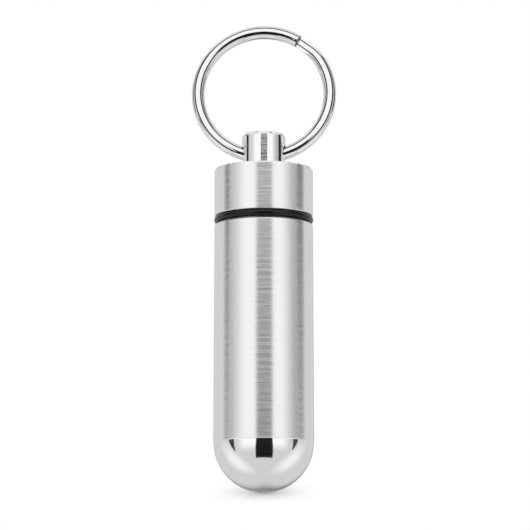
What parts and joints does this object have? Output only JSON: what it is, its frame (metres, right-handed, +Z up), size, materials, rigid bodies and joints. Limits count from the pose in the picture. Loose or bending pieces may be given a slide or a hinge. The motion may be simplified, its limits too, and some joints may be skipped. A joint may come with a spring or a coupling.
{
  "type": "pill fob keychain",
  "caption": "Round-ended metal pill capsule with a screw cap, rubber seal and a post that carries a split key ring.",
  "frame": {"origin": "centre of the split ring, where keys or a hook pass through", "axes": "+Z up along the hanging capsule, from the dome to the post; X along the cross hole, and -Y the side that the ring's front turn faces"},
  "size_m": [0.0252, 0.0173, 0.0823],
  "materials": {
    "ring_steel": "bright nickel plate",
    "cap_aluminium": "brushed round the cap, polished on the post",
    "seal_rubber": "satin black",
    "capsule_aluminium": "brushed round the wall, polished on the dome"
  },
  "bodies": {
    "ring": {"split_ring": "ring_steel"},
    "cap": {"cap": "cap_aluminium"},
    "seal": {"o_ring": "seal_rubber"},
    "capsule": {"capsule": "capsule_aluminium"}
  },
  "joints": [
    {"name": "ring_swing", "type": "hinge", "parent": "ring", "child": "cap", "pos_m": [0, -0.00154, -0.01096], "axis": [1, 0, 0], "range_deg": [-121, 105]},
    {"name": "cap_travel", "type": "slide", "parent": "cap", "child": "seal", "axis": [0, 0, -1], "range_m": [0, 0.0088]},
    {"name": "cap_turn", "type": "hinge", "parent": "seal", "child": "capsule", "pos_m": [0, -0.00154, -0.01096], "axis": [0, 0, -1], "range_deg": [0, 2520]}
  ],
  "couplings": [
    {"joint": "cap_travel", "follows": "cap_turn", "m_per_rad": 0.00019894}
  ]
}
